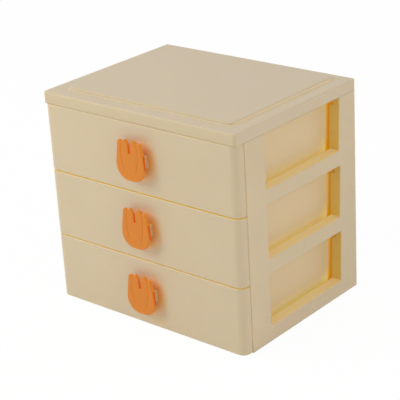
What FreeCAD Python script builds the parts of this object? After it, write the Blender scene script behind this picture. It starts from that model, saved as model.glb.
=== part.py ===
import FreeCAD, Part
import math
import os

# Desktop chest of three mini drawers, in millimetres.
# X runs to the right, Y to the back and Z up. The origin is on the ground, at the
# centre of the footprint with the pulls counted in.

Vector = FreeCAD.Vector
ALONG_X = Vector(1, 0, 0)
ALONG_Y = Vector(0, 1, 0)
ALONG_Z = Vector(0, 0, 1)

# Whole chest
case_width = 175.0
case_depth = 135.3
storey_count = 3
storey_pitch = 50.8
case_back_radius = 1.2
fit_gap = 0.2
overrun = 1.0

# Cover
cover_skirt = 8.5
cover_wall = 2.0
cover_corner_radius = 3.0
cover_edge_radius = 1.0
plateau_rise = 1.8
plateau_side_inset = 12.0
plateau_front_inset = 12.5
plateau_back_inset = 7.3
plateau_corner_radius = 6.0
plateau_edge_bevel = 0.8
cover_rib_width = 1.4
cover_rib_height = 2.6
cover_rib_side_shares = (-0.5, 0, 0.5)
cover_rib_depth_shares = (0.3, 0.7)

# Snap hooks of the cover, in the stiles of the side frames
cover_hook_width = 8.0
cover_hook_thickness = 1.6
cover_hook_nose = 0.9
cover_hook_point = 2.0

# Side frames
frame_depth = 8.6
frame_skin = 2.0
frame_flange = 1.6
frame_edge_radius = 0.6
front_stile = 21.2
back_stile = 19.5
back_flange = 2.2
sill_height = 11.4
window_lean = 1.4
window_corner_radius = 1.0
window_edge_bevel = 0.4
head_ledge_depth = 5.4
jamb_notch_height = 6.5
stile_rib_width = 1.2
upstand_height = 4.0
upstand_width = 1.6

# Decks: the base panel and the two shelves
deck_thickness = 2.0
deck_bead_width = 1.2
deck_bead_height = 1.0
deck_lip_width = 1.6
deck_lip_rise = 0.4
deck_rib_width = 1.6
deck_rib_side_shares = (-0.5, 0, 0.5)
deck_rib_depth_shares = (0.25, 0.75)
deck_tab_width = 10.0
deck_tab_share = 0.45
gate_boss_radius = 7.0
retainer_length = 8.0
retainer_thickness = 1.2
retainer_shares = (0.1, 0.5, 0.9)

# Back panel
back_panel_thickness = 2.0
back_panel_upstand = 3.0

# Drawer fronts
front_lift = 0.4
front_gap = 0.7
front_depth = 8.2
front_seam = 0.6
front_side_inset = 0.2
front_wall = 2.0
front_corner_radius = 6.0
front_edge_bevel = 0.5
front_rib_width = 1.4
front_rib_shares = (-0.8, -0.3, 0.3, 0.8)

# Snap hooks of the drawer fronts, through the front walls of the trays
front_hook_width = 8.0
front_hook_thickness = 1.6
front_hook_nose = 0.9
front_hook_point = 1.6
front_hook_side_share = 0.6
front_hook_height_shares = (0.25, 0.75)

# Pads on the drawer fronts, which the pulls stand on
pad_width = 19.4
pad_height = 8.8
pad_depth = 2.1
pad_edge_bevel = 0.4

# Trays
tray_side_gap = 1.6
tray_back_gap = 1.9
tray_lean = 0.7
tray_wall = 1.8
tray_overlap = 2.0
tray_corner_radius = 4.0
tray_bevel = 1.2
tray_rim_drop = 3.0
rim_bead_width = 0.8
rim_bead_height = 2.0
runner_width = 2.0
runner_height = 1.4
runner_gap = 0.1
runner_share = 0.78
runner_end_inset = 8.0

# Stops of the drawers: blocks under the trays and ramps on the decks
stop_inset = 10.1
stop_gap = 0.3
stop_width = 24.0
stop_height = 1.0
stop_length = 2.0

# Tulip pulls
pull_reach = 7.2
pull_plate = 1.9
pull_rise = 1.1
pull_half_width = 12.9
pull_foot = 15.2
pull_foot_radius = 10.8
pull_hip_height = -2.5
pull_hip_radius = 20.0
outer_tip_side = 10.1
outer_tip_height = 14.8
outer_tip_radius = 1.7
petal_notch_side = 6.6
petal_notch_height = 12.5
inner_tip_side = 3.6
inner_tip_height = 15.2
inner_tip_radius = 1.1
slit_mouth_half_width = 1.0
slit_mouth_height = 11.2
slit_half_width = 0.65
slit_foot_height = 4.6
slit_foot_radius = 0.6
pull_edge_bevel = 0.5
groove_half_width = 0.5
groove_depth = 0.25
groove_belly_side = 7.6
groove_belly_height = 3.0
groove_foot_side = 5.2
groove_foot_height = -8.0
stem_width = 19.0
stem_height = 8.4

# Barbed prongs of the pulls, through the pads
prong_width = 2.4
prong_height = 4.0
prong_side = 5.0
prong_nose = 0.6
prong_point = 1.6

# Places that follow from the sizes above
half_width = case_width / 2
front_y = (pull_reach - case_depth) / 2
back_y = front_y + case_depth
cover_bottom = storey_count * storey_pitch
cover_top = cover_bottom + cover_skirt
frame_front_y = front_y + front_depth + front_seam
frame_inner_x = half_width - frame_depth
skin_x = half_width - frame_skin
window_front_y = frame_front_y + front_stile
window_back_y = back_y - back_stile
window_height = storey_pitch - sill_height
head_ledge_x = half_width - head_ledge_depth
deck_rise = frame_flange + deck_bead_height + deck_thickness
deck_half_width = skin_x - fit_gap
deck_front_y = frame_front_y + frame_flange + fit_gap
panel_back_y = back_y - back_flange
panel_front_y = panel_back_y - back_panel_thickness
deck_back_y = panel_front_y - fit_gap
front_height = storey_pitch - front_gap
tray_half_width = frame_inner_x - tray_side_gap
tray_front_y = front_y + front_depth - tray_overlap
tray_back_y = panel_front_y - tray_back_gap
tray_floor_rise = deck_rise + runner_gap + runner_height
tray_rim_rise = storey_pitch - tray_rim_drop
stop_back_y = tray_back_y - tray_corner_radius
ramp_back_y = frame_front_y + stop_inset + stop_length + stop_length
drawer_travel = stop_back_y - stop_length - ramp_back_y - stop_gap


# General shapes

def block(x_span, y_span, z_span):
    size = [span[1] - span[0] for span in (x_span, y_span, z_span)]
    return Part.makeBox(*size, Vector(x_span[0], y_span[0], z_span[0]))


def mirrored(shape):
    return shape.mirror(Vector(0, 0, 0), ALONG_X)


def on_both_sides(shapes):
    return shapes + [mirrored(shape) for shape in shapes]


def prism(points, extrusion):
    outline = Part.makePolygon(points + points[:1])
    return Part.Face(outline).extrude(extrusion)


def rounded_wire(corners):
    """Closed outline through (point, radius) corners, each rounded by a tangent arc."""
    starts = []
    ends = []
    arcs = []
    for index, (point, radius) in enumerate(corners):
        before = corners[index - 1][0] - point
        after = corners[(index + 1) % len(corners)][0] - point
        before.normalize()
        after.normalize()
        half_angle = before.getAngle(after) / 2
        tangent = radius / math.tan(half_angle)
        start = point + before * tangent
        end = point + after * tangent
        bisector = before + after
        bisector.normalize()
        middle = point + bisector * (radius / math.sin(half_angle) - radius)
        starts.append(start)
        ends.append(end)
        arcs.append(Part.Arc(start, middle, end).toShape() if radius else None)
    edges = []
    for index, end in enumerate(ends):
        if arcs[index]:
            edges.append(arcs[index])
        edges.append(Part.makeLine(end, starts[(index + 1) % len(starts)]))
    return Part.Wire(edges)


def rounded_rectangle(x_span, y_span, level, front_radius, back_radius):
    return rounded_wire([
        (Vector(x_span[0], y_span[0], level), front_radius),
        (Vector(x_span[1], y_span[0], level), front_radius),
        (Vector(x_span[1], y_span[1], level), back_radius),
        (Vector(x_span[0], y_span[1], level), back_radius),
    ])


def rounded_block(x_span, y_span, z_span, front_radius, back_radius):
    outline = rounded_rectangle(x_span, y_span, z_span[0], front_radius, back_radius)
    return Part.Face(outline).extrude(ALONG_Z * (z_span[1] - z_span[0]))


def edges_at_level(shape, level):
    """Edges that lie in the horizontal plane at this height."""
    return [edge for edge in shape.Edges
            if abs(edge.BoundBox.ZMin - level) + abs(edge.BoundBox.ZMax - level) < fit_gap / 2]


def snap_hook(root, run, nose, reach, point, thickness, nose_depth, width):
    """Flat tongue from root along run, with a wedge-shaped nose whose catch is at reach."""
    across = run.cross(nose)
    shape = [(0, 0), (reach, 0), (reach, nose_depth), (reach + point, 0),
             (reach + point, -thickness), (0, -thickness)]
    corner = root - across * (width / 2)
    return prism([corner + run * out + nose * up for out, up in shape], across * width)


def hook_slot(root, run, nose, span, thickness, nose_depth, width):
    """Opening that lets a snap hook bend as it goes in, along run from span[0] to span[1]."""
    across = run.cross(nose)
    near = -thickness - nose_depth - fit_gap
    shape = [(span[0], near), (span[1], near), (span[1], fit_gap), (span[0], fit_gap)]
    corner = root - across * (width / 2 + fit_gap)
    return prism([corner + run * out + nose * up for out, up in shape],
                 across * (width + fit_gap + fit_gap))


# Heights that repeat with each storey

def storey_floor(storey):
    return storey * storey_pitch


def deck_top(storey):
    return storey_floor(storey) + deck_rise


def front_middle(storey):
    return storey_floor(storey) + front_lift + front_height / 2


# Cover

def cover_hook_roots():
    """Roots of the right-hand cover hooks, one over each stile."""
    side = head_ledge_x
    hollow_fronts = (frame_front_y + frame_flange, window_back_y + frame_flange)
    hollow_backs = (window_front_y - frame_flange, panel_front_y)
    middles = [(near + far) / 2 for near, far in zip(hollow_fronts, hollow_backs)]
    return [Vector(side, middle, cover_top - cover_wall) for middle in middles]


def cover_ribs(cavity_x, cavity_y, ceiling):
    z_span = (ceiling - cover_rib_height, ceiling + overrun / 2)
    ribs = []
    for share in cover_rib_side_shares:
        x = cavity_x[1] * share
        ribs.append(block((x - cover_rib_width / 2, x + cover_rib_width / 2), cavity_y, z_span))
    for share in cover_rib_depth_shares:
        y = cavity_y[0] + (cavity_y[1] - cavity_y[0]) * share
        ribs.append(block(cavity_x, (y - cover_rib_width / 2, y + cover_rib_width / 2), z_span))
    return ribs


def top_cover():
    x_span = (-half_width, half_width)
    outer = rounded_block(x_span, (front_y, back_y), (cover_bottom, cover_top),
                          cover_corner_radius, case_back_radius)
    outer = outer.makeFillet(cover_edge_radius, edges_at_level(outer, cover_top))
    plateau_x = half_width - plateau_side_inset
    plateau_y = (front_y + plateau_front_inset, back_y - plateau_back_inset)
    plateau_top = cover_top + plateau_rise
    plateau = rounded_block((-plateau_x, plateau_x), plateau_y, (cover_bottom, plateau_top),
                            plateau_corner_radius, plateau_corner_radius)
    plateau = plateau.makeChamfer(plateau_edge_bevel, edges_at_level(plateau, plateau_top))
    inner_x = half_width - cover_wall
    inner_y = (front_y + cover_wall, back_y - cover_wall)
    cavity = rounded_block((-inner_x, inner_x), inner_y,
                           (cover_bottom - overrun, cover_top - cover_wall),
                           cover_corner_radius - cover_wall, 0)
    upper_x = plateau_x - cover_wall
    upper_y = (plateau_y[0] + cover_wall, plateau_y[1] - cover_wall)
    upper_radius = plateau_corner_radius - cover_wall
    upper_cavity = rounded_block((-upper_x, upper_x), upper_y,
                                 (cover_bottom - overrun, plateau_top - cover_wall),
                                 upper_radius, upper_radius)
    shell = outer.fuse(plateau).cut(cavity.fuse(upper_cavity))
    ribs = cover_ribs((-upper_x, upper_x), upper_y, plateau_top - cover_wall)
    catch = cover_top - cover_wall - (cover_bottom - frame_flange) + fit_gap
    hooks = [snap_hook(root, -ALONG_Z, ALONG_X, catch, cover_hook_point,
                       cover_hook_thickness, cover_hook_nose, cover_hook_width)
             for root in cover_hook_roots()]
    return shell.multiFuse(ribs + on_both_sides(hooks)).removeSplitter()


# Side frames

def window(storey, grow, x_span):
    """Opening of one storey in a side frame, grown by grow, with its sill corners rounded."""
    low = storey_floor(storey) + sill_height - grow
    high = storey_floor(storey + 1) + grow
    lean = window_lean * (high - low) / window_height
    back_high = window_back_y + grow + window_lean * grow / window_height
    near = window_front_y - grow
    radius = window_corner_radius + grow
    outline = rounded_wire([
        (Vector(x_span[0], near, low), radius),
        (Vector(x_span[0], back_high - lean, low), radius),
        (Vector(x_span[0], back_high, high), 0),
        (Vector(x_span[0], near, high), 0),
    ])
    return Part.Face(outline).extrude(ALONG_X * (x_span[1] - x_span[0]))


def frame_shell():
    outline = rounded_wire([
        (Vector(frame_inner_x, frame_front_y, 0), 0),
        (Vector(half_width, frame_front_y, 0), frame_edge_radius),
        (Vector(half_width, back_y, 0), case_back_radius),
        (Vector(frame_inner_x, back_y, 0), 0),
    ])
    return Part.Face(outline).extrude(ALONG_Z * cover_bottom)


def frame_hollow(storeys):
    """Space behind the skin, with a flange left round the frame and round each window."""
    hollow = block((frame_inner_x - overrun, skin_x),
                   (frame_front_y + frame_flange, panel_back_y),
                   (frame_flange, cover_bottom - frame_flange))
    surrounds = [window(storey, frame_flange, (frame_inner_x - overrun, half_width))
                 for storey in storeys]
    return hollow.cut(surrounds)


def top_rail():
    """Ledge above the top window, with an upstand that stands inside the cover's skirt."""
    outer_x = half_width - cover_wall - fit_gap
    y_span = (frame_front_y, back_y - cover_wall - fit_gap)
    ledge = block((frame_inner_x, outer_x), y_span, (cover_bottom, cover_bottom + frame_flange))
    upstand = block((outer_x - upstand_width, outer_x), y_span,
                    (cover_bottom, cover_bottom + upstand_height))
    return ledge.fuse(upstand)


def jamb_notch(storey):
    """Cut that trims the head ledge of a window and the inner top corners of its jambs."""
    head = storey_floor(storey + 1)
    return block((frame_inner_x - overrun, head_ledge_x),
                 (window_front_y - frame_flange, window_back_y + frame_flange),
                 (head - jamb_notch_height, head + frame_flange))


def deck_bead(storey):
    """Raised bead that the edge of a deck hooks over."""
    low = storey_floor(storey) + frame_flange
    return block((head_ledge_x, head_ledge_x + deck_bead_width),
                 (window_front_y - frame_flange, window_back_y + frame_flange - window_lean),
                 (low, low + deck_bead_height))


def deck_retainers(storey):
    """Short ledges that keep the edge of a deck down."""
    low = deck_top(storey) + fit_gap
    run = deck_back_y - deck_front_y - retainer_length
    starts = [deck_front_y + run * share for share in retainer_shares]
    return [block((frame_inner_x, skin_x + frame_skin / 2), (start, start + retainer_length),
                  (low, low + retainer_thickness)) for start in starts]


def stile_ribs(storey):
    """Ribs across both hollow stiles, half way up a window."""
    middle = storey_floor(storey) + (storey_pitch + sill_height) / 2
    z_span = (middle - stile_rib_width / 2, middle + stile_rib_width / 2)
    x_span = (frame_inner_x + frame_flange, skin_x + frame_skin / 2)
    front_rib = block(x_span, (frame_front_y + frame_flange / 2, window_front_y - frame_flange / 2),
                      z_span)
    back_rib = block(x_span, (window_back_y - window_lean + frame_flange, panel_front_y - fit_gap),
                     z_span)
    return [front_rib, back_rib]


def window_edges(frame):
    """Edges of the windows in the outer face of a side frame."""
    return [edge for edge in frame.Edges
            if edge.BoundBox.XMin > half_width - fit_gap / 2
            and edge.BoundBox.YMin > window_front_y - fit_gap / 2
            and edge.BoundBox.YMax < window_back_y + fit_gap / 2
            and edge.BoundBox.ZMin > sill_height - fit_gap / 2]


def side_frame():
    storeys = range(storey_count)
    frame = frame_shell().cut(frame_hollow(storeys)).fuse(top_rail())
    fittings = []
    for storey in storeys:
        fittings.append(deck_bead(storey))
        fittings += deck_retainers(storey)
        fittings += stile_ribs(storey)
    cuts = []
    for storey in storeys:
        cuts.append(window(storey, 0, (frame_inner_x - overrun, half_width + overrun)))
        cuts.append(jamb_notch(storey))
    slot_span = (cover_top - cover_wall - cover_bottom - frame_flange - overrun,
                 cover_top - cover_wall - cover_bottom + frame_flange + overrun)
    for root in cover_hook_roots():
        cuts.append(hook_slot(root, -ALONG_Z, ALONG_X, slot_span,
                              cover_hook_thickness, cover_hook_nose, cover_hook_width))
    frame = frame.cut(cuts).multiFuse(fittings).removeSplitter()
    return frame.makeChamfer(window_edge_bevel, window_edges(frame))


# Decks

def deck_profile(storey):
    """Section of a deck: a plate whose side edges turn down behind the frames' beads."""
    top = deck_top(storey)
    underside = top - deck_thickness
    lip_foot = storey_floor(storey) + frame_flange + fit_gap
    lip_x = head_ledge_x + deck_bead_width + fit_gap
    half = [(deck_half_width, top), (deck_half_width, lip_foot), (lip_x, lip_foot), (lip_x, underside)]
    points = half + [(-x, z) for x, z in reversed(half)]
    return [Vector(x, deck_front_y, z) for x, z in points]


def deck_ribs(storey, foot):
    """Ribs under a deck, between its front lip and its back edge."""
    underside = deck_top(storey) - deck_thickness
    inner_x = frame_inner_x - fit_gap
    z_span = (foot, underside + deck_thickness / 2)
    ribs = []
    for share in deck_rib_side_shares:
        x = inner_x * share
        ribs.append(block((x - deck_rib_width / 2, x + deck_rib_width / 2),
                          (frame_front_y, deck_back_y), z_span))
    for share in deck_rib_depth_shares:
        y = frame_front_y + (deck_back_y - frame_front_y) * share
        ribs.append(block((-inner_x, inner_x), (y - deck_rib_width / 2, y + deck_rib_width / 2),
                          z_span))
    return ribs


def deck_stop(storey):
    """Low ramp near the front edge, which the tray's stop meets at the end of its travel."""
    top = deck_top(storey)
    return prism([
        Vector(-stop_width / 2, ramp_back_y, top),
        Vector(-stop_width / 2, ramp_back_y, top + stop_height),
        Vector(-stop_width / 2, ramp_back_y - stop_length / 2, top + stop_height),
        Vector(-stop_width / 2, ramp_back_y - stop_length - stop_length, top),
    ], ALONG_X * stop_width)


def deck_tabs(storey, grow, y_span):
    """Tabs at the back edge of a deck, or with grow the slots for them."""
    top = deck_top(storey)
    middle = half_width * deck_tab_share
    tab = block((middle - deck_tab_width / 2 - grow, middle + deck_tab_width / 2 + grow), y_span,
                (top - deck_thickness - grow, top + grow))
    return on_both_sides([tab])


def deck(storey):
    top = deck_top(storey)
    foot = storey_floor(storey) + (deck_lip_rise if storey else 0)
    plate = prism(deck_profile(storey), ALONG_Y * (deck_back_y - deck_front_y))
    inner_x = frame_inner_x - fit_gap
    nose = block((-inner_x, inner_x), (frame_front_y, deck_front_y + deck_lip_width),
                 (top - deck_thickness, top))
    lip = block((-inner_x, inner_x), (frame_front_y, frame_front_y + deck_lip_width), (foot, top))
    pieces = [nose, lip, deck_stop(storey)] + deck_ribs(storey, foot)
    pieces += deck_tabs(storey, 0, (deck_back_y - overrun, panel_back_y))
    return plate.multiFuse(pieces)


def base_panel():
    boss = Part.makeCylinder(gate_boss_radius, deck_top(0) - deck_thickness / 2)
    return deck(0).fuse(boss).removeSplitter()


def shelf(storey):
    return deck(storey).removeSplitter()


# Back panel

def back_panel():
    wide_x = skin_x - fit_gap
    narrow_x = frame_inner_x - fit_gap
    low = frame_flange
    high = cover_bottom - frame_flange - fit_gap
    top = cover_bottom + back_panel_upstand
    half = [(narrow_x, deck_lip_rise), (narrow_x, low), (wide_x, low), (wide_x, high),
            (narrow_x, high), (narrow_x, top)]
    points = half + [(-x, z) for x, z in reversed(half)]
    panel = prism([Vector(x, panel_front_y, z) for x, z in points],
                  ALONG_Y * back_panel_thickness)
    slots = []
    for storey in range(storey_count):
        slots += deck_tabs(storey, fit_gap, (panel_front_y - overrun, panel_back_y + overrun))
    return panel.cut(slots).removeSplitter()


# Drawer fronts

def front_hook_roots(storey):
    """Roots of a drawer front's snap hooks, on the inside of its skin."""
    low = storey_floor(storey) + tray_floor_rise
    height = tray_rim_rise - tray_floor_rise
    side = tray_half_width * front_hook_side_share
    return [Vector(sign * side, front_y + front_wall, low + height * share)
            for sign in (-1, 1) for share in front_hook_height_shares]


def prong_roots(storey):
    """Roots of a pull's prongs: right and left, each with the way that its barb points."""
    level = front_middle(storey)
    root_y = front_y - pad_depth
    return [(Vector(sign * (prong_side + prong_width / 2), root_y, level), ALONG_X * sign)
            for sign in (-1, 1)]


def front_pad(storey):
    level = front_middle(storey)
    pad = block((-pad_width / 2, pad_width / 2), (front_y - pad_depth, front_y + front_wall / 2),
                (level - pad_height / 2, level + pad_height / 2))
    face_edges = [edge for edge in pad.Edges
                  if abs(edge.BoundBox.YMax - front_y + pad_depth) < fit_gap / 2]
    return pad.makeChamfer(pad_edge_bevel, face_edges)


def drawer_front(storey):
    low = storey_floor(storey) + front_lift
    high = low + front_height
    edge_x = half_width - front_side_inset
    outer = rounded_block((-edge_x, edge_x), (front_y, front_y + front_depth), (low, high),
                          front_corner_radius, 0)
    rim = [edge for edge in edges_at_level(outer, low) + edges_at_level(outer, high)
           if edge.BoundBox.YMin < front_y + front_depth - front_seam]
    outer = outer.makeChamfer(front_edge_bevel, rim)
    inner_x = edge_x - front_wall
    cavity = rounded_block((-inner_x, inner_x), (front_y + front_wall, front_y + front_depth + overrun),
                           (low + front_wall, high - front_wall),
                           front_corner_radius - front_wall, 0)
    ribs = []
    for share in front_rib_shares:
        x = tray_half_width * share
        ribs.append(block((x - front_rib_width / 2, x + front_rib_width / 2),
                          (front_y + front_wall / 2, tray_front_y),
                          (low + front_wall / 2, high - front_wall / 2)))
    catch = tray_front_y + tray_wall + fit_gap - (front_y + front_wall)
    hooks = [snap_hook(root, ALONG_Y, ALONG_Z, catch, front_hook_point,
                       front_hook_thickness, front_hook_nose, front_hook_width)
             for root in front_hook_roots(storey)]
    slots = [hook_slot(root, ALONG_Y, way, (-overrun, pad_depth + front_wall + overrun),
                       prong_width, prong_nose, prong_height)
             for root, way in prong_roots(storey)]
    return outer.cut(cavity).multiFuse(ribs + hooks + [front_pad(storey)]).cut(slots).removeSplitter()


# Trays

def tray_outline(level, inset, front_inset):
    """Outline of a tray at this height, with its sides and back moved in and its back corners round."""
    side = tray_half_width - inset
    return rounded_rectangle((-side, side), (tray_front_y + front_inset, tray_back_y - inset), level,
                             0, tray_corner_radius - inset)


def tray_body(floor, rim, wall):
    """Solid that leans out from its bevelled bottom to its rim, set in all round by wall."""
    foot = tray_lean + wall
    sections = [tray_outline(floor, foot + tray_bevel, wall + tray_bevel),
                tray_outline(floor + tray_bevel, foot, wall),
                tray_outline(rim, wall, wall)]
    return Part.makeLoft(sections, True, True)


def tray_shell(floor, rim):
    return tray_body(floor, rim, 0).cut(tray_body(floor + tray_wall, rim + overrun, tray_wall))


def rim_bead(rim):
    """Thickened edge round the sides and the back of the tray."""
    low = rim - rim_bead_height
    ring = Part.Face(tray_outline(low, -rim_bead_width, 0)).extrude(ALONG_Z * rim_bead_height)
    inside = Part.Face(tray_outline(low - overrun, tray_wall / 2, 0))
    inside = inside.extrude(ALONG_Z * (rim_bead_height + overrun + overrun))
    front_part = block((-case_width, case_width), (front_y, frame_front_y + front_seam),
                       (low - overrun, rim + overrun))
    return ring.cut([inside, front_part])


def tray_runners(storey, floor):
    side = tray_half_width * runner_share
    runner = block((side - runner_width / 2, side + runner_width / 2),
                   (frame_front_y + runner_end_inset, tray_back_y - runner_end_inset),
                   (deck_top(storey) + runner_gap, floor + tray_wall / 2))
    return on_both_sides([runner])


def tray_stop(floor):
    return block((-stop_width / 2, stop_width / 2), (stop_back_y - stop_length, stop_back_y),
                 (floor - stop_height, floor + tray_wall / 2))


def drawer_tray(storey):
    floor = storey_floor(storey) + tray_floor_rise
    rim = storey_floor(storey) + tray_rim_rise
    span = (-overrun, tray_front_y + tray_wall + overrun - front_y - front_wall)
    slots = [hook_slot(root, ALONG_Y, ALONG_Z, span, front_hook_thickness, front_hook_nose,
                       front_hook_width)
             for root in front_hook_roots(storey)]
    pieces = [rim_bead(rim), tray_stop(floor)] + tray_runners(storey, floor)
    return tray_shell(floor, rim).multiFuse(pieces).cut(slots).removeSplitter()


# Tulip pulls

def tulip_outline():
    """Front view of a tulip: a round foot, four petal tips and a slit between the middle ones."""
    half = [
        (pull_half_width, -pull_foot, pull_foot_radius),
        (pull_half_width, pull_hip_height, pull_hip_radius),
        (outer_tip_side, outer_tip_height, outer_tip_radius),
        (petal_notch_side, petal_notch_height, 0),
        (inner_tip_side, inner_tip_height, inner_tip_radius),
        (slit_mouth_half_width, slit_mouth_height, 0),
        (slit_half_width, slit_foot_height, slit_foot_radius),
    ]
    points = half + [(-x, z, radius) for x, z, radius in reversed(half)]
    return rounded_wire([(Vector(x, 0, z), radius) for x, z, radius in points])


def petal_groove():
    """Tool for a shallow groove from the right-hand notch down to the foot of the petals."""
    marks = [(petal_notch_side, petal_notch_height), (groove_belly_side, groove_belly_height),
             (groove_foot_side, groove_foot_height)]
    start, middle, end = [Vector(x, 0, z) for x, z in marks]
    centre = Part.Arc(start, middle, end).toShape().Curve.Center
    outward = start - centre
    outward.normalize()
    sweep = outward.getAngle(end - centre)
    flank = outward * (groove_half_width + groove_half_width)
    bottom = start + ALONG_Y * groove_depth
    top = start - ALONG_Y * groove_depth
    section = Part.Face(Part.makePolygon([bottom, top + flank, top - flank, bottom]))
    return section.revolve(centre, ALONG_Y, math.degrees(sweep))


def tulip_plate():
    """Plate of a pull about its own middle, with its face at zero and its back behind it."""
    plate = Part.Face(tulip_outline()).extrude(ALONG_Y * pull_plate)
    face_edges = [edge for edge in plate.Edges if edge.BoundBox.YMax < pull_plate / 2]
    plate = plate.makeChamfer(pull_edge_bevel, face_edges)
    return plate.cut(on_both_sides([petal_groove()]))


def tulip_pull(storey):
    level = front_middle(storey)
    face_y = front_y - pull_reach
    plate = tulip_plate().translated(Vector(0, face_y, level + pull_rise))
    stem = block((-stem_width / 2, stem_width / 2), (face_y + pull_plate / 2, front_y - pad_depth),
                 (level - stem_height / 2, level + stem_height / 2))
    catch = pad_depth + front_wall + fit_gap
    prongs = [snap_hook(root, ALONG_Y, way, catch, prong_point, prong_width, prong_nose, prong_height)
              for root, way in prong_roots(storey)]
    return plate.multiFuse([stem] + prongs).removeSplitter()


# Export, one file for each piece

def write_pieces():
    right_frame = side_frame()
    pieces = {
        "top_cover": top_cover(),
        "side_frame_right": right_frame,
        "side_frame_left": mirrored(right_frame),
        "back_panel": back_panel(),
        "base_panel": base_panel(),
        "shelf_lower": shelf(1),
        "shelf_upper": shelf(2),
    }
    for storey, place in enumerate(("bottom", "middle", "top")):
        pieces["drawer_tray_" + place] = drawer_tray(storey)
        pieces["drawer_front_" + place] = drawer_front(storey)
        pieces["tulip_pull_" + place] = tulip_pull(storey)
    os.makedirs("parts", exist_ok=True)
    for name, shape in pieces.items():
        shape.exportStep(os.path.join("parts", name + ".step"))
        print(name, "solids", len(shape.Solids), "valid", shape.isValid(),
              "volume", round(shape.Volume))
    print(f"drawer travel {drawer_travel:.3f}")


write_pieces()
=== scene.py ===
import math

import bpy
from mathutils import Matrix, Vector

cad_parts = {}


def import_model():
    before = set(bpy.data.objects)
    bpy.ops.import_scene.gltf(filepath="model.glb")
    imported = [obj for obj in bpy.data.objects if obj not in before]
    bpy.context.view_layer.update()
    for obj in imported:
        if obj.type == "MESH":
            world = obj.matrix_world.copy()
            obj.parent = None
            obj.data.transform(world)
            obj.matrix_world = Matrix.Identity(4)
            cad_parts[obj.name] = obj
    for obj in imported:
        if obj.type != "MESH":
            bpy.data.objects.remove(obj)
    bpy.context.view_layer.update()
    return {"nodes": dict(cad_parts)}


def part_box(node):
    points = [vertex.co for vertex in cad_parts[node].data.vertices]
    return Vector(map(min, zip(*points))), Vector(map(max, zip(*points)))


# Looks of the desktop chest of mini drawers. All lengths are in metres and angles in degrees.

storeys = ("bottom", "middle", "top")

# Camera, from the photograph's straight edges
camera_aim = Vector((0, -0.00122, 0.07428))
camera_distance = 0.9869
camera_azimuth = 41.14
camera_elevation = 22.66
camera_roll = -3.42
camera_lens_mm = 122.0
camera_sensor_mm = 36.0
camera_near = 0.05
camera_far = 20.0

# Floor and surroundings
floor_size = 6.0
floor_reflectance = (0.90, 0.895, 0.88)
floor_glow_share = 0.97
background_white = (1, 1, 1)
surround_colour = (1.0, 0.985, 0.96)
surround_strength = 0.62
opaque = (1,)

# Lamps: place about the aim point, size, and power in watts
lamps = {
    "key_lamp": {
        "azimuth": -40.0,
        "elevation": 33.0,
        "distance": 1.3,
        "size": 0.7,
        "power": 8.5,
        "colour": (1.0, 0.985, 0.96),
    },
    "side_lamp": {
        "azimuth": 88.0,
        "elevation": 22.0,
        "distance": 1.4,
        "size": 0.9,
        "power": 5.0,
        "colour": (1.0, 0.96, 0.92),
    },
}

# Plastics. The edges are softened by a radius. The sheltered and the deep colour are painted shade and
# painted glow.
# They stand in for light that bounces in hollows and gaps and shines through the plastic there. They
# fade in as the share of the sky that a place sees falls from one value to the next, and glow by a share
# of themselves, though no lamp is there. They begin between two heights above the ground.
case_heights = (0.0075, 0.0115)
tray_heights = (0, 0.001)
cover_look = {
    "edge_radius": 0.0018,
    "heights": case_heights,
    "open_colour": (0.587, 0.492, 0.355),
    "sheltered": {"colour": (0.690, 0.555, 0.335), "sky_shares": (0.97, 0.60), "glow_share": 0.15},
    "deep": {"colour": (0.660, 0.550, 0.350), "sky_shares": (0.45, 0.20), "glow_share": 0.42},
}
frame_look = {
    "edge_radius": 0.0010,
    "heights": case_heights,
    "open_colour": (0.590, 0.480, 0.320),
    "sheltered": {"colour": (0.680, 0.510, 0.290), "sky_shares": (0.70, 0.30), "glow_share": 0.18},
    "deep": {"colour": (0.680, 0.320, 0.010), "sky_shares": (0.45, 0.20), "glow_share": 0.30},
}
deck_look = {
    "edge_radius": 0.0005,
    "heights": case_heights,
    "open_colour": (0.590, 0.480, 0.310),
    "sheltered": {"colour": (0.680, 0.520, 0.260), "sky_shares": (0.90, 0.50), "glow_share": 0.05},
    "deep": {"colour": (0.680, 0.470, 0.160), "sky_shares": (0.45, 0.15), "glow_share": 0.12},
}
tray_look = {
    "edge_radius": 0.0005,
    "heights": tray_heights,
    "open_colour": (0.640, 0.500, 0.300),
    "sheltered": {"colour": (0.730, 0.620, 0.225), "sky_shares": (0.80, 0.35), "glow_share": 0.10},
    "deep": {"colour": (0.740, 0.640, 0.170), "sky_shares": (0.45, 0.20), "glow_share": 0.48},
}
front_look = {
    "edge_radius": 0.0006,
    "heights": case_heights,
    "open_colour": (0.564, 0.468, 0.315),
    "sheltered": {"colour": (0.620, 0.450, 0.200), "sky_shares": (0.60, 0.40), "glow_share": 0.0},
    "deep": {"colour": (0.680, 0.500, 0.260), "sky_shares": (0.40, 0.10), "glow_share": 0.16},
}
pull_look = {
    "edge_radius": 0.0005,
    "heights": case_heights,
    "open_colour": (0.620, 0.200, 0.016),
    "sheltered": {"colour": (0.600, 0.160, 0.010), "sky_shares": (0.97, 0.60), "glow_share": 0.0},
    "deep": {"colour": (0.750, 0.090, 0.002), "sky_shares": (0.55, 0.20), "glow_share": 0.25},
}
# Strength of the painted glow, and the reach and number of rays with which the sky that a place sees is
# found for the painted shade and glow
glow_strength = 1.0
shelter_reach = 0.012
shelter_samples = 8
edge_samples = 8

# Clouding, in colour and in gloss, and grain of the plastics
cloud_size = 0.035
cloud_detail = 3.0
cloud_low_share = 0.97
cloud_high_share = 1.03
roughness_spread = 0.04
grain_size = 0.00045
grain_detail = 2.0
grain_height = 0.00002

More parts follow.
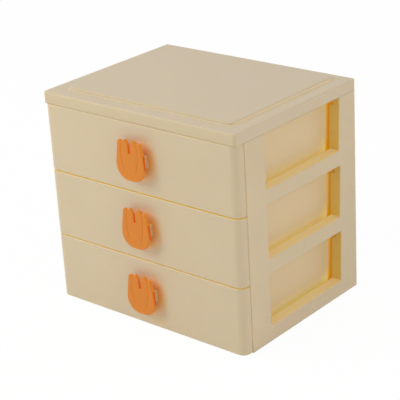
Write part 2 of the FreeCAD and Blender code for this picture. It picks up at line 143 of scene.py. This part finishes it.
# Gloss of the plastics, and how far light scatters in them
cream_scatter_share = 0.35
cream_scatter_depth = 0.0022
cover_finish = {
    "roughness": 0.50,
    "specular": 0.30,
    "scatter_share": cream_scatter_share,
    "scatter_depth": cream_scatter_depth,
}
cream_finish = {
    "roughness": 0.42,
    "specular": 0.50,
    "scatter_share": cream_scatter_share,
    "scatter_depth": cream_scatter_depth,
}
orange_finish = {
    "roughness": 0.46,
    "specular": 0.30,
    "scatter_share": 0.20,
    "scatter_depth": 0.0012,
}
scatter_colour_shares = (1.0, 0.55, 0.16)

# A face counts as turned to a direction as that direction's share of its normal goes from the first
# value to the second
turned_shares = (0.3, 0.8)

# Painted shade on the cover where it is turned to the front, toning down the light that falls there: its
# skirt, and the slope and the rounded edge above it
cover_front_shade = {"colour": (0.556, 0.466, 0.305), "glow_share": 0.0}
cover_slope_shade = {"colour": (0.564, 0.477, 0.310), "glow_share": 0.0}

# Window recesses of the side frames, with a painted golden glow on their walls and a paler one on their
# sills, standing in for light that bounces and shines through the plastic there. The windows end a
# stile's width from the front and the back of a frame. The places of the recesses are measured from
# those ends and from the frame's outer face.
front_stile = 0.0212
back_stile = 0.0195
recess_front = (-0.00225, -0.00145)
recess_back = (0.00125, 0.00055)
recess_side = (-0.0002, -0.0005)
jamb_glow = {"colour": (0.725, 0.500, 0.130), "glow_share": 0.04}
sill_glow = {"colour": (0.800, 0.635, 0.310), "glow_share": 0.09}

# Outer side faces of the trays: the product of a face's place and its normal, both across the case
outer_side = (0.02, 0.05)

# Back ends of the trays, seen in the slit before the back end of a window and measured from there, where
# painted orange shade and glow are laid
slit_front = (-0.00295, -0.00215)
slit_glow = {"colour": (0.600, 0.280, 0.001), "sky_shares": (0.70, 0.52), "glow_share": 0.50}

# Painted golden glow on the upper and lower edges of the drawer fronts, seen in the gap lines
gap_line_glows = {
    "bottom": {"colour": (0.660, 0.500, 0.150), "glow_share": 0.17},
    "middle": {"colour": (0.640, 0.440, 0.030), "glow_share": 0.34},
    "top": {"colour": (0.620, 0.510, 0.310), "glow_share": 0.15},
}
gap_line_sky_shares = (0.80, 0.35)

# Light that a pull throws back on the drawer front behind it: a broad tint, a deeper one in the middle
# of its shadow, and a small bright place. Each is centred at a shift from the pull's middle and fades in
# from the first distance of its reach to the second.
warm_layers = (
    {
        "colour": (0.700, 0.510, 0.280),
        "glow_share": 0.16,
        "shift": Vector((0.009, 0, -0.005)),
        "reach": (0.021, 0.012),
    },
    {
        "colour": (0.700, 0.470, 0.170),
        "glow_share": 0.03,
        "shift": Vector((0.010, 0, -0.007)),
        "reach": (0.012, 0.007),
    },
    {
        "colour": (0.710, 0.380, 0.095),
        "glow_share": 0.07,
        "shift": Vector((0.010, 0, 0.003)),
        "reach": (0.010, 0.002),
    },
)
warm_sky_shares = (0.98, 0.60)

# Rim of a pull, where light shines through it, and its shaded part at the sides, level with the pad and
# measured from the pull's middle. A face belongs to the rim as the share of its normal that points to
# the front or the back goes from the first value to the second.
rim_normal_shares = (0.85, 0.40)
rim = {"colour": (0.660, 0.225, 0.017), "glow_share": 0.16}
rim_shade = {"colour": (0.640, 0.090, 0.002), "glow_share": 0.16}
rim_shade_rise = (0.0058, 0.0040)
rim_shade_side = (0.009, 0.011)


def sphere_point(azimuth, elevation, distance):
    """Point at this distance from the camera's aim; azimuth 0 is in front of the drawers."""
    turn = math.radians(azimuth)
    rise = math.radians(elevation)
    way = Vector((math.sin(turn) * math.cos(rise), -math.cos(turn) * math.cos(rise), math.sin(rise)))
    return camera_aim + way * distance


def towards_aim(place):
    """Rotation that turns a camera or lamp at this place to the camera's aim."""
    return (camera_aim - place).to_track_quat("-Z", "Y").to_matrix()


def added(name, data):
    """New object in the scene, made from a camera, a lamp or a mesh."""
    thing = bpy.data.objects.new(name, data)
    bpy.context.scene.collection.objects.link(thing)
    return thing


def add_camera():
    data = bpy.data.cameras.new("camera")
    data.sensor_width = camera_sensor_mm
    data.lens = camera_lens_mm
    data.clip_start = camera_near
    data.clip_end = camera_far
    camera = added("camera", data)
    camera.location = sphere_point(camera_azimuth, camera_elevation, camera_distance)
    roll = Matrix.Rotation(math.radians(camera_roll), 3, "Z")
    camera.rotation_euler = (towards_aim(camera.location) @ roll).to_euler()
    bpy.context.scene.camera = camera


def add_lamp(name, azimuth, elevation, distance, size, power, colour):
    data = bpy.data.lights.new(name, "AREA")
    data.shape = "DISK"
    data.size = size
    data.energy = power
    data.color = colour
    lamp = added(name, data)
    lamp.location = sphere_point(azimuth, elevation, distance)
    lamp.rotation_euler = towards_aim(lamp.location).to_euler()


def computed(tree, operation, *values):
    """Result of an operation on outputs and plain numbers."""
    node = tree.nodes.new("ShaderNodeMath")
    node.operation = operation
    for value, socket in zip(values, node.inputs):
        if isinstance(value, float):
            socket.default_value = value
        else:
            tree.links.new(value, socket)
    return node.outputs[0]


def mixed_shaders(tree, share, first, second):
    mix = tree.nodes.new("ShaderNodeMixShader")
    tree.links.new(share, mix.inputs["Fac"])
    tree.links.new(first, mix.inputs[1])
    tree.links.new(second, mix.inputs[2])
    return mix.outputs[0]


def seen_directly(tree):
    """Value of 1 for rays that show the background itself: from the camera, a mirror or glass."""
    path = tree.nodes.new("ShaderNodeLightPath").outputs
    camera_or_mirror = computed(tree, "MAXIMUM", path["Is Camera Ray"], path["Is Glossy Ray"])
    return computed(tree, "MAXIMUM", camera_or_mirror, path["Is Transmission Ray"])


def add_surroundings():
    """Pale light from all round, with a white background for rays that show it."""
    world = bpy.data.worlds.new("surroundings")
    world.use_nodes = True
    tree = world.node_tree
    tree.nodes.clear()
    light = tree.nodes.new("ShaderNodeBackground")
    light.inputs["Color"].default_value = surround_colour + opaque
    light.inputs["Strength"].default_value = surround_strength
    white = tree.nodes.new("ShaderNodeBackground")
    white.inputs["Color"].default_value = background_white + opaque
    shown = mixed_shaders(tree, seen_directly(tree), light.outputs[0], white.outputs[0])
    output = tree.nodes.new("ShaderNodeOutputWorld")
    tree.links.new(shown, output.inputs["Surface"])
    bpy.context.scene.world = world


def floor_material():
    """Pale floor that shows white where nothing shades it and keeps soft shadows."""
    material = bpy.data.materials.new("pale_floor")
    material.use_nodes = True
    tree = material.node_tree
    tree.nodes.clear()
    matt = tree.nodes.new("ShaderNodeBsdfDiffuse")
    matt.inputs["Color"].default_value = floor_reflectance + opaque
    glow = tree.nodes.new("ShaderNodeEmission")
    glow.inputs["Color"].default_value = background_white + opaque
    share = computed(tree, "MULTIPLY", seen_directly(tree), floor_glow_share)
    shown = mixed_shaders(tree, share, matt.outputs[0], glow.outputs[0])
    output = tree.nodes.new("ShaderNodeOutputMaterial")
    tree.links.new(shown, output.inputs["Surface"])
    return material


def add_floor():
    half = floor_size / 2
    mesh = bpy.data.meshes.new("floor")
    corners = [(-half, -half, 0), (half, -half, 0), (half, half, 0), (-half, half, 0)]
    mesh.from_pydata(corners, [], [(0, 1, 2, 3)])
    mesh.materials.append(floor_material())
    floor = added("floor", mesh)


class Plastic:
    """Satin moulded plastic with faint clouding; layers of colour, mostly painted shade and painted
    glow, are laid over it by a share.
    """

    def __init__(self, name, look):
        self.material = bpy.data.materials.new(name)
        self.material.use_nodes = True
        self.tree = self.material.node_tree
        self.nodes = self.tree.nodes
        coordinates = self.nodes.new("ShaderNodeTexCoord")
        self.place = coordinates.outputs["Object"]
        self.along = self.parts_of(self.place)
        self.facing = self.parts_of(coordinates.outputs["Normal"])
        self.edge_radius = look["edge_radius"]
        self.sky = self.sky_seen()
        self.clouds = self.noise(cloud_size, cloud_detail)
        tint = self.nodes.new("ShaderNodeHueSaturation")
        tint.inputs["Color"].default_value = look["open_colour"] + opaque
        self.join(self.ranged(self.clouds, cloud_low_share, cloud_high_share), tint.inputs["Value"])
        self.colour = tint.outputs["Color"]
        self.glow = (0, 0, 0)
        self.facing_up = self.faded(self.facing["Z"], turned_shares)
        # Near the ground it is the floor that shelters, apart from faces that are turned up, so the
        # painted shade and glow of the sheltered places are kept off there
        self.off_ground = self.greater(self.faded(self.along["Z"], look["heights"]), self.facing_up)
        self.lay_shelter(look["sheltered"])

    def join(self, output, socket):
        self.tree.links.new(output, socket)

    def parts_of(self, vector):
        split = self.nodes.new("ShaderNodeSeparateXYZ")
        self.join(vector, split.inputs[0])
        return split.outputs

    def sky_seen(self):
        """Share of the sky that a place sees within the shelter's reach."""
        shelter = self.nodes.new("ShaderNodeAmbientOcclusion")
        shelter.samples = shelter_samples
        shelter.inputs["Distance"].default_value = shelter_reach
        return shelter.outputs["AO"]

    def noise(self, size, detail):
        texture = self.nodes.new("ShaderNodeTexNoise")
        texture.inputs["Scale"].default_value = 1 / size
        texture.inputs["Detail"].default_value = detail
        self.join(self.place, texture.inputs["Vector"])
        return texture.outputs["Fac"]

    def ranged(self, value, low, high):
        """Value from 0 to 1 turned into one from low to high."""
        spread = self.nodes.new("ShaderNodeMapRange")
        spread.inputs["To Min"].default_value = low
        spread.inputs["To Max"].default_value = high
        self.join(value, spread.inputs["Value"])
        return spread.outputs["Result"]

    def faded(self, value, stretch, origin=0):
        """Share of 0 at the start and 1 at the end of a stretch of values, measured from an origin."""
        start, end = stretch
        fade = self.nodes.new("ShaderNodeMapRange")
        fade.inputs["From Min"].default_value = origin + start
        fade.inputs["From Max"].default_value = origin + end
        self.join(value, fade.inputs["Value"])
        return fade.outputs["Result"]

    def nearness(self, centre, reach):
        """Share of 0 at the first distance from the centre and 1 at the second."""
        away = self.nodes.new("ShaderNodeVectorMath")
        away.operation = "DISTANCE"
        away.inputs[1].default_value = centre
        self.join(self.place, away.inputs[0])
        return self.faded(away.outputs["Value"], reach)

    def turned_to_front(self):
        """Share of 1 on faces that are turned to the front, which is against the Y axis."""
        start, end = turned_shares
        return self.faded(self.facing["Y"], (-start, -end))

    def sheltered(self, layer):
        """Share of 1 where a place sees as little of the sky as the layer asks for."""
        return self.faded(self.sky, layer["sky_shares"])

    def size_of(self, value):
        """Value without its sign."""
        return computed(self.tree, "ABSOLUTE", value)

    def greater(self, first, second):
        return computed(self.tree, "MAXIMUM", first, second)

    def less(self, value, number):
        return computed(self.tree, "SUBTRACT", value, number)

    def product(self, first, *others):
        result = first
        for other in others:
            result = computed(self.tree, "MULTIPLY", result, other)
        return result

    def mixed(self, share, first, second):
        """Colour between two, each of them a colour or an output."""
        node = self.nodes.new("ShaderNodeMixRGB")
        self.join(share, node.inputs["Fac"])
        for colour, socket in ((first, node.inputs["Color1"]), (second, node.inputs["Color2"])):
            if isinstance(colour, tuple):
                socket.default_value = colour + opaque
            else:
                self.join(colour, socket)
        return node.outputs["Color"]

    def lay(self, share, layer):
        """Lay the layer's colour and glow over those that are there."""
        self.colour = self.mixed(share, self.colour, layer["colour"])
        glow = tuple(part * layer["glow_share"] for part in layer["colour"])
        self.glow = self.mixed(share, self.glow, glow)

    # Painted shade and glow where a place sees little of the sky
    def lay_shelter(self, layer):
        self.lay(self.product(self.sheltered(layer), self.off_ground), layer)

    def soft_grained_normal(self):
        """Normal with softened edges and a fine spark-eroded grain."""
        rounded = self.nodes.new("ShaderNodeBevel")
        rounded.samples = edge_samples
        rounded.inputs["Radius"].default_value = self.edge_radius
        grain = self.nodes.new("ShaderNodeBump")
        grain.inputs["Distance"].default_value = grain_height
        self.join(self.noise(grain_size, grain_detail), grain.inputs["Height"])
        self.join(rounded.outputs["Normal"], grain.inputs["Normal"])
        return grain.outputs["Normal"]

    def finished(self, finish):
        """The material, with its layers joined to the shader."""
        sockets = self.nodes["Principled BSDF"].inputs
        self.join(self.colour, sockets["Base Color"])
        self.join(self.glow, sockets["Emission Color"])
        sockets["Emission Strength"].default_value = glow_strength
        low = finish["roughness"] - roughness_spread
        high = finish["roughness"] + roughness_spread
        self.join(self.ranged(self.clouds, low, high), sockets["Roughness"])
        sockets["Specular IOR Level"].default_value = finish["specular"]
        sockets["Subsurface Weight"].default_value = finish["scatter_share"]
        sockets["Subsurface Radius"].default_value = scatter_colour_shares
        sockets["Subsurface Scale"].default_value = finish["scatter_depth"]
        self.join(self.soft_grained_normal(), sockets["Normal"])
        return self.material


def frame_places():
    """Outer face of the right side frame, and the front and back end of its windows."""
    low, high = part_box("side_frame_right")
    return {"side": high.x, "window_front": low.y + front_stile, "window_back": high.y - back_stile}


def pull_middle(storey):
    low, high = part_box("tulip_pull_" + storey)
    return (low + high) / 2


def cover_plastic():
    """Plastic of the cover, with painted shade where it is turned to the front and painted shade and
    glow where it is sheltered.
    """
    plastic = Plastic("cover_plastic", cover_look)
    in_front = plastic.turned_to_front()
    plastic.lay(in_front, cover_front_shade)
    plastic.lay(plastic.product(plastic.facing_up, in_front), cover_slope_shade)
    plastic.lay_shelter(cover_look["deep"])
    return plastic.finished(cover_finish)


def deck_plastic():
    """Plastic of the base panel, the shelves and the back panel."""
    plastic = Plastic("deck_plastic", deck_look)
    plastic.lay_shelter(deck_look["deep"])
    return plastic.finished(cream_finish)


def tray_plastic():
    """Plastic of the trays, with a painted golden glow where they are deep in the windows and painted
    orange shade and glow in the slits at their back ends.
    """
    plastic = Plastic("tray_plastic", tray_look)
    outside = plastic.faded(plastic.product(plastic.along["X"], plastic.facing["X"]), outer_side)
    deep = tray_look["deep"]
    plastic.lay(plastic.product(outside, plastic.sheltered(deep)), deep)
    at_back = plastic.faded(plastic.along["Y"], slit_front, frame_places()["window_back"])
    plastic.lay(plastic.product(at_back, plastic.sheltered(slit_glow), outside), slit_glow)
    return plastic.finished(cream_finish)


def frame_plastic():
    """Plastic of the side frames, with a painted golden glow on the walls of the windows, painted orange
    shade and glow deep in them, and a paler painted glow on their sills.
    """
    plastic = Plastic("frame_plastic", frame_look)
    places = frame_places()
    inside = plastic.faded(plastic.size_of(plastic.along["X"]), recess_side, places["side"])
    behind_front = plastic.faded(plastic.along["Y"], recess_front, places["window_front"])
    before_back = plastic.faded(plastic.along["Y"], recess_back, places["window_back"])
    recess = plastic.product(inside, plastic.off_ground, behind_front, before_back)
    plastic.lay(recess, jamb_glow)
    deep = frame_look["deep"]
    plastic.lay(plastic.product(recess, plastic.sheltered(deep)), deep)
    plastic.lay(plastic.product(recess, plastic.facing_up), sill_glow)
    return plastic.finished(cream_finish)


def front_plastic(storey):
    """Plastic of a drawer front, with a painted golden glow on its upper and lower edge and painted warm
    light and shadow behind the pull.
    """
    plastic = Plastic("front_plastic_" + storey, front_look)
    plastic.lay_shelter(front_look["deep"])
    level = plastic.faded(plastic.size_of(plastic.facing["Z"]), turned_shares)
    in_gap = plastic.faded(plastic.sky, gap_line_sky_shares)
    plastic.lay(plastic.product(level, in_gap), gap_line_glows[storey])
    in_shadow = plastic.faded(plastic.sky, warm_sky_shares)
    behind_pull = plastic.product(plastic.turned_to_front(), in_shadow)
    for layer in warm_layers:
        near = plastic.nearness(pull_middle(storey) + layer["shift"], layer["reach"])
        plastic.lay(plastic.product(near, behind_pull), layer)
    return plastic.finished(cream_finish)


def pull_plastic(storey):
    """Plastic of a pull, with painted light at the rim of the plate, painted shade at its sides level
    with the pad, and painted red shade and glow where it is deep in shade.
    """
    plastic = Plastic("pull_plastic_" + storey, pull_look)
    at_rim = plastic.faded(plastic.size_of(plastic.facing["Y"]), rim_normal_shares)
    plastic.lay(at_rim, rim)
    from_middle = plastic.size_of(plastic.less(plastic.along["Z"], pull_middle(storey).z))
    level_with_pad = plastic.faded(from_middle, rim_shade_rise)
    at_side = plastic.faded(plastic.size_of(plastic.along["X"]), rim_shade_side)
    plastic.lay(plastic.product(at_rim, level_with_pad, at_side), rim_shade)
    plastic.lay_shelter(pull_look["deep"])
    return plastic.finished(orange_finish)


def dress(frame):
    """Give each node the plastic that the start of its name stands for."""
    deck = deck_plastic()
    plastics = {
        "top_cover": cover_plastic(),
        "side_frame": frame_plastic(),
        "back_panel": deck,
        "base_panel": deck,
        "shelf": deck,
        "drawer_tray": tray_plastic(),
    }
    for storey in storeys:
        plastics["drawer_front_" + storey] = front_plastic(storey)
        plastics["tulip_pull_" + storey] = pull_plastic(storey)
    for name, node in frame["nodes"].items():
        plastic = next(plastics[start] for start in plastics if name.startswith(start))
        node.data.materials.clear()
        node.data.materials.append(plastic)


def main():
    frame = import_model()
    bpy.context.scene.view_settings.view_transform = "Standard"
    add_camera()
    add_floor()
    add_surroundings()
    for name, lamp in lamps.items():
        add_lamp(name, **lamp)
    dress(frame)


main()
